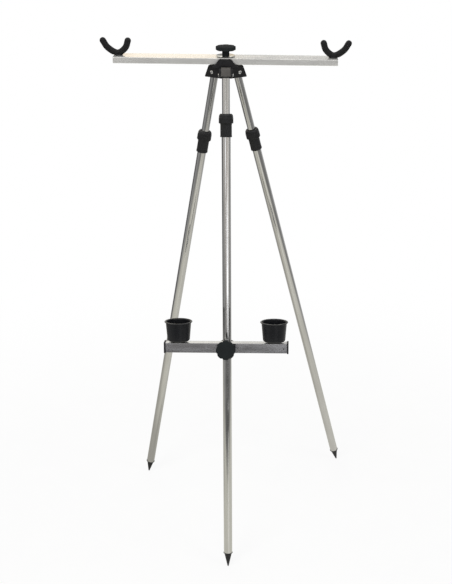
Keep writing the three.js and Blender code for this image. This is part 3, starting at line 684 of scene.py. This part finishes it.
def body_part():
    """The lock body: sleeve with two raised cuffs, threaded neck, cone and inner shoulder."""
    sleeve_bore, neck_bore, mouth = 11.2, 9.8, 12.3
    waist, lower_cuff, upper_cuff, ramp = BODY_RADIUS - 0.35, 3.2, 2.6, 0.4
    thread_turns, pitch, root, sides = 6, 2.0, NECK_RADIUS - 0.6, 64
    top = -NUT_HEIGHT - SEAT_GAP
    foot, neck_top = top - BODY_LENGTH, top + NECK_HEIGHT
    shoulder = SEAT_GAP - TUBE_TOP_DEPTH
    profile = [(sleeve_bore, foot, 0.2), (BODY_RADIUS, foot, 0.4),
               (BODY_RADIUS, foot + lower_cuff, 0.3), (waist, foot + lower_cuff + ramp, 0.2),
               (waist, top - upper_cuff - ramp, 0.2), (BODY_RADIUS, top - upper_cuff, 0.3),
               (BODY_RADIUS, top, 0.4), (NECK_RADIUS, top, 0.2)]
    for k in range(thread_turns):
        z = top + 1.0 + k * pitch
        profile += [(NECK_RADIUS, z), (root, z + 0.5), (root, z + 1.0), (NECK_RADIUS, z + 1.5)]
    profile += [(NECK_RADIUS, neck_top, 0.3), (mouth, neck_top, 0.3), (neck_bore, top - 0.2),
                (neck_bore, shoulder), (sleeve_bore, shoulder)]
    return lathe(profile, sides, closed=True)


def spike_part():
    """The foot: a plug in the tube, a flange, and a cone with a blunt tip."""
    plug, flange, cone, point, sides = 9.6, 12.0, 10.0, -SPIKE_LENGTH, 48
    profile = [(0, FOOT_SPIGOT), (plug - 0.2, FOOT_SPIGOT, 0.6), (plug, 0.4), (flange, 0, 0.4),
               (flange, -1.2, 0.5), (cone, -2.2, 0.6), (cone - 0.4, -3.4, 0.4),
               (2.0, point + 2.8, 0.8), (1.2, point + 0.6, 0.8), (0, point)]
    return lathe(profile, sides)


def bush_part():
    """The guide bush: a ring that slides in the lower tube, and a spigot in the upper one."""
    bore, spigot, slide, sides = 5.0, 8.0, 9.6, 40
    profile = [(bore, 0, 0.3), (slide, 0, 0.5), (slide, BUSH_RING, 0.4), (spigot, BUSH_RING, 0.2),
               (spigot, BUSH_LENGTH, 0.5), (bore, BUSH_LENGTH, 0.3)]
    return lathe(profile, sides, closed=True)


def pin_part():
    """The hinge pin: a shank between two domed heads."""
    shank, head, sides = 3.0, 4.5, 40
    end = [(shank, PIN_HALF), (head, PIN_HALF, 0.2), (head - 0.1, PIN_HALF + 0.7, 0.5),
           (2.4, PIN_HALF + 1.9, 0.5), (0, PIN_HALF + 2.0)]
    other_end = [(radius, -height, *rounding) for radius, height, *rounding in reversed(end)]
    return lathe(other_end + end, sides)


def make_leg(side):
    matrix = LEGS[side]
    leg, lower = f"leg_{side}", f"lower_{side}"
    upper_foot = node_low(f"upper_tube_{side}", matrix)
    lower_foot = node_low(f"lower_tube_{side}", matrix)
    lower_top = -SHOWN_UPPER[side] - TUBE_TOP_DEPTH

    build(f"upper_{side}_drawn", tube(UPPER_DIAMETER, upper_foot, UPPER_TOP), matrix, leg,
          LEG_METAL, (f"upper_tube_{side}",))
    build(f"lower_{side}_drawn", tube(LOWER_DIAMETER, lower_foot, lower_top), matrix, lower,
          LEG_METAL, (f"lower_tube_{side}",))

    lock = raised(matrix, -SHOWN_UPPER[side])
    build(f"twist_nut_{side}", nut_part(), lock, f"nut_{side}", BLACK,
          (f"lock_nut_{side}",))
    build(f"lock_sleeve_{side}", body_part(), lock, lower, BLACK,
          (f"lock_body_{side}",))
    softened(f"lock_collet_{side}", 0.2, lock, lower, GREY)

    base = raised(matrix, lower_foot - SEAT_GAP)
    build(f"spike_{side}", spike_part(), base, lower, BLACK,
          (f"foot_{side}",))
    softened(f"hinge_block_{side}", 0.6, matrix, leg, BLOCK_GREY)
    under = raised(matrix, upper_foot - SEAT_GAP - BUSH_RING)
    build(f"bush_{side}", bush_part(), under, leg, BLACK,
          (f"guide_bush_{side}",))
    across = axes(matrix.translation, matrix.col[1][:3], matrix.col[2][:3])
    build(f"rivet_{side}", pin_part(), across, "head", STEEL, (f"hinge_pin_{side}",))


for side in LEGS:
    make_leg(side)


# Head and top bar

softened("head_hub", 0.7, HEAD, "head", BLACK)
softened("head_nut", 0.4, HEAD, "head", STEEL)
softened("top_bar", 0.35, BAR, "top_bar", BAR_METAL, "X")


def knob_part():
    """The eight lobed knob: a stem with a blind hole, a rounded rim and a low dome."""
    lobes, sides_per_lobe, edge_steps, dome_steps = 8, 20, 5, 12
    radius, notch, stem, rim, dome, edge = 24.2, 2.2, 14.0, 8.5, 1.6, 1.4
    stem_radius, bore, hole_depth = 8.8, STUD_RADIUS + SEAT_GAP, STUD_GRIP + SEAT_GAP
    top, waist = stem + rim, radius - edge

    # Each level is a radius, a height and the share of the lobes' depth there
    levels = [(bore, hole_depth, 0), (bore, 0.0, 0), (stem_radius - 0.4, 0.0, 0),
              (stem_radius, 0.5, 0), (stem_radius, stem - 1.0, 0), (9.1, stem - 0.2, 0),
              (10.2, stem, 0.1), (radius - 2.2, stem, 1)]
    for k in range(1, edge_steps + 1):
        angle = math.pi / 2 * k / edge_steps
        levels.append((waist + edge * math.sin(angle), stem + edge * (1 - math.cos(angle)), 1))
    for k in range(edge_steps + 1):
        angle = math.pi / 2 * k / edge_steps
        levels.append((waist + edge * math.cos(angle), top - edge + edge * math.sin(angle), 1))
    for k in range(1, dome_steps + 1):
        inward = k / dome_steps
        height = top + dome * (1 - (1 - inward) ** 2)
        levels.append((waist * (1 - inward), height, max(0.0, 1 - 2.5 * inward)))

    def lobed(level_radius, share):
        def radius_at(angle):
            lobe = abs(math.cos(lobes * angle / 2))
            return level_radius - share * notch * (1 - lobe) ** 2
        return radius_at

    rows = [[(0, 0, hole_depth)]]
    for level_radius, height, share in levels:
        if level_radius < TINY:
            rows.append([(0, 0, height)])
        else:
            rows.append(ring(lobes * sides_per_lobe, height, lobed(level_radius, share)))
    return skin(rows)


def threaded(low, high, start, end):
    """A stud between two heights, with a helical thread from start to end."""
    sides, pitch, levels_per_turn, depth, chamfer = 20, 1.25, 6, 0.45, 0.6
    steps = int((end - start) / (pitch / levels_per_turn))
    levels = [low, low + chamfer]
    levels += [start + (end - start) * k / steps for k in range(steps + 1)]
    levels += [high - chamfer, high]

    def cut_at(z):
        def radius_at(angle):
            phase = (z / pitch - angle / (2 * math.pi)) % 1.0
            groove = depth * abs(2 * phase - 1) if start < z < end else 0.0
            return STUD_RADIUS - max(groove, chamfer if z in (low, high) else 0.0)
        return radius_at

    verts, faces = skin([ring(sides, z, cut_at(z)) for z in levels])
    faces.append(tuple(reversed(range(sides))))
    faces.append(tuple(range(len(verts) - sides, len(verts))))
    return verts, faces


def dish_part():
    """The dished washer: flat round the stud and rising to its rim."""
    bore, flat, rim, rise, sides = STUD_RADIUS + SEAT_GAP, 8.8, 23.0, 1.2, 96
    profile = [(bore, 0, 0.15), (flat, 0, 2.0), (rim - 0.2, rise - 0.05, 0.3),
               (rim, rise + DISH_THICKNESS, 0.3), (flat, DISH_THICKNESS, 2.0),
               (bore, DISH_THICKNESS, 0.15)]
    return lathe(profile, sides, closed=True)


def make_top_knob():
    build("knob_top", knob_part(), TOP_KNOB, "top_knob", KNOB_BLACK,
          ("top_knob",))
    stack = raised(TOP_KNOB, -DISH_THICKNESS - SEAT_GAP)
    build("washer_dished", dish_part(), stack, "top_knob", DISH_STEEL,
          ("top_washer",))
    foot = -BAR_HEIGHT - HEX_HEIGHT - STUD_BELOW_NUT
    top, thread_top = DISH_THICKNESS + SEAT_GAP + STUD_GRIP, -13.5
    build("stud_top", threaded(foot, top, foot + 1.0, thread_top), stack, "top_knob",
          STEEL, ("top_stud",))


make_top_knob()


# Rod rests

def between(a, b, start, end, at):
    """The point at a place on the line that passes a at start and b at end."""
    return a * ((end - at) / (end - start)) + b * ((at - start) / (end - start))


def centripetal(points, steps):
    """Points along a centripetal Catmull-Rom curve, as the solid's path is."""
    ends = [2 * points[0] - points[1]] + points + [2 * points[-1] - points[-2]]
    curve = []
    spans = len(points) - 1
    for i in range(steps + 1):
        along = i / steps * spans
        k = min(int(along), spans - 1)
        p = ends[k:k + 4]
        t = [0.0]
        for a, b in zip(p, p[1:]):
            t.append(t[-1] + max((b - a).length, TINY) ** 0.5)
        s = t[1] + (along - k) * (t[2] - t[1])
        lines = [between(p[j], p[j + 1], t[j], t[j + 1], s) for j in range(3)]
        bows = [between(lines[j], lines[j + 1], t[j], t[j + 2], s) for j in range(2)]
        curve.append(between(bows[0], bows[1], t[1], t[2], s))
    return curve


def sweep(points, radius):
    """A round bar with domed ends along a smooth curve through points in the XZ plane."""
    sides, steps, cap_steps = 28, 72, 8
    curve = centripetal([Vector((x, 0, z)) for x, z in points], steps)
    tangents = [(curve[min(i + 1, steps)] - curve[max(i - 1, 0)]).normalized()
                for i in range(steps + 1)]
    across = Vector((0, 1, 0))

    def section(centre, tangent, r):
        up = tangent.cross(across)
        return [tuple(centre + r * (math.cos(a) * across + math.sin(a) * up)) for a in turns(sides)]

    def dome(end, tangent, way):
        """A domed end from its pole inwards, where way is -1 against the tangent and 1 along it."""
        rows = [[tuple(end + way * tangent * radius)]]
        for k in range(1, cap_steps):
            angle = math.pi / 2 * (1 - k / cap_steps)
            centre = end + way * tangent * radius * math.sin(angle)
            rows.append(section(centre, tangent, radius * math.cos(angle)))
        return rows

    first = dome(curve[0], tangents[0], -1)
    middle = [section(point, tangent, radius) for point, tangent in zip(curve, tangents)]
    last = dome(curve[-1], tangents[-1], 1)
    return skin(first + middle + last[::-1])


def fork_part():
    """The rest's fork: a thick rubber bar in a lopsided bow, flat under its middle."""
    outer_reach, inner_reach, sag, rise, shift = 36.2, 23.9, 5.4, 34.6, 1.0
    outer_share, inner_share, bend_share = 0.7, 0.74, 0.44
    radius, flat = 7.7, 1.8
    bend = sag + (rise - sag) * bend_share
    path = [(-outer_reach, rise), (-outer_reach * outer_share, bend), (-shift, sag),
            (inner_reach * inner_share, bend), (inner_reach, rise)]
    verts, faces = sweep(path, radius)
    return [(x, y, max(z, flat)) for x, y, z in verts], faces


def screw_part(length):
    """A screw with a socket in its round head below zero, and its shank above."""
    socket, head, shank, head_height, sides = 1.3, 4.5, 2.5, 3.0, 32
    profile = [(0, -2.0), (socket, -2.0, 0.1), (socket + 0.1, -head_height, 0.1),
               (head - 0.5, 0.6 - head_height, 0.8), (head, 0, 0.2), (shank, 0),
               (shank, length - 0.5, 0.3), (shank - 0.5, length, 0.2), (0, length)]
    return lathe(profile, sides)


def make_rest(side, sign):
    place = Matrix.Translation((sign * (BAR_LENGTH / 2 - REST_INSET) * MM, 0, BAR_HEIGHT / 2 * MM))
    matrix = BAR @ place @ Matrix.Rotation(0 if sign < 0 else math.pi, 4, "Z")
    build(f"fork_{side}", fork_part(), matrix, "top_bar", RUBBER,
          (f"rest_fork_{side}",))
    softened(f"rest_foot_{side}", 0.35, matrix, "top_bar", BLACK)
    screw = raised(matrix, -BAR_WALL - SEAT_GAP)
    build(f"screw_rest_{side}", screw_part(REST_SCREW_LENGTH), screw, "top_bar", STEEL,
          (f"rest_screw_{side}",))


make_rest("left", -1)
make_rest("right", 1)


# Cup bar

softened("cup_bar", 0.35, RACK, "cup_rack", RACK_METAL, "Y")
softened("cup_bar_cap_left", 0.6, RACK, "cup_rack", BLACK)
softened("cup_bar_cap_right", 0.6, RACK, "cup_rack", BLACK)
softened("clamp_ring", 0.5, RACK, "cup_rack", BLACK)
softened("clamp_liner", 0.2, RACK, "clamp_slide", GREY)


def make_cup_knob():
    build("knob_cups", knob_part(), CUP_KNOB, "cup_knob", KNOB_BLACK,
          ("cup_knob",))
    stack = raised(CUP_KNOB, -WASHER_THICKNESS - SEAT_GAP)
    bore, radius, sides = STUD_RADIUS + SEAT_GAP, 10.0, 48
    build("washer_cups", collar(bore, radius, 0, WASHER_THICKNESS, 0.15, 0.3, sides), stack,
          "cup_knob", STEEL, ("clamp_washer",))
    foot = node_low("clamp_screw", stack)
    top, thread_top = WASHER_THICKNESS + SEAT_GAP + STUD_GRIP, -1.0
    build("screw_cups", threaded(foot, top, foot + 1.0, thread_top), stack, "cup_knob",
          STEEL, ("clamp_screw",))


def cup_part():
    """The rod butt cup: tapered wall, rolled lip, and a thick floor with a blind hole under it."""
    base, mouth, rim, under_lip, height = 28.0, 31.75, 35.0, 47.1, 49.5
    hole, hole_depth, floor, floor_edge, chamfer, dimple = 2.8, 5.0, 7.0, 21.8, 4.0, 0.2
    sides = 112
    outer = [(0, hole_depth), (hole, hole_depth, 0.2), (hole, 0, 0.2), (base - 2.6, 0, 0.8),
             (base, 2.8, 1.6), (mouth, under_lip, 0.6), (rim - 0.8, under_lip, 0.4),
             (rim, under_lip + 1.2, 0.9), (rim - 1.2, height, 0.9)]
    inner = [(mouth - 1.1, height, 0.8), (mouth - 2.2, under_lip, 0.8),
             (base - 1.2, floor + chamfer, 2.0), (floor_edge, floor, 1.0), (6.0, floor, 0.3),
             (5.4, floor - dimple, 0.2), (0, floor - dimple)]
    return lathe(outer + inner, sides)


def make_cup(side, sign):
    place = (CUP_MIDDLE * MM, sign * CUP_SPACING / 2 * MM, CUP_BAR_SIDE / 2 * MM)
    matrix = RACK @ Matrix.Translation(place)
    bore, radius, sides = 2.8, 15.0, 48
    build(f"pad_{side}", collar(bore, radius, SEAT_GAP, PAD_TOP, 0.1, 0.3, sides), matrix,
          "cup_rack", RUBBER, (f"cup_pad_{side}",))
    body = raised(matrix, PAD_TOP + SEAT_GAP)
    build(f"butt_cup_{side}", cup_part(), body, "cup_rack", CUP_BLACK,
          (f"cup_{side}",))
    screw = raised(matrix, -CUP_BAR_WALL - SEAT_GAP)
    build(f"screw_cup_{side}", screw_part(CUP_SCREW_LENGTH), screw, "cup_rack", STEEL,
          (f"cup_screw_{side}",))


def make_rivets():
    """Two small blind rivets in the front of the cup bar: one closed and one hollow."""
    flange = [(2.0, 0.1, 0.2), (2.0, -0.3), (0, -0.3)]
    closed = [(0, 0.9), (1.2, 0.75, 0.3)] + flange
    hollow = [(0, 0.35), (0.6, 0.4, 0.1), (0.7, 0.9, 0.1), (1.4, 0.75, 0.3)] + flange
    face, sides = CUP_MIDDLE + CUP_BAR_SIDE / 2, 28

    # Each rivet's distance along the bar from its middle, its height on the face and its outline
    rivets = {"near": (29.5, 1.5, closed), "far": (144.0, -1.0, hollow)}
    for name, (y, z, profile) in rivets.items():
        place = Matrix.Translation((face * MM, y * MM, z * MM))
        matrix = RACK @ place @ Matrix.Rotation(math.pi / 2, 4, "Y")
        build(f"rivet_bar_{name}", lathe(profile, sides), matrix, "cup_rack",
              RIVET_STEEL)


make_cup_knob()
make_cup("left", -1)
make_cup("right", 1)
make_rivets()
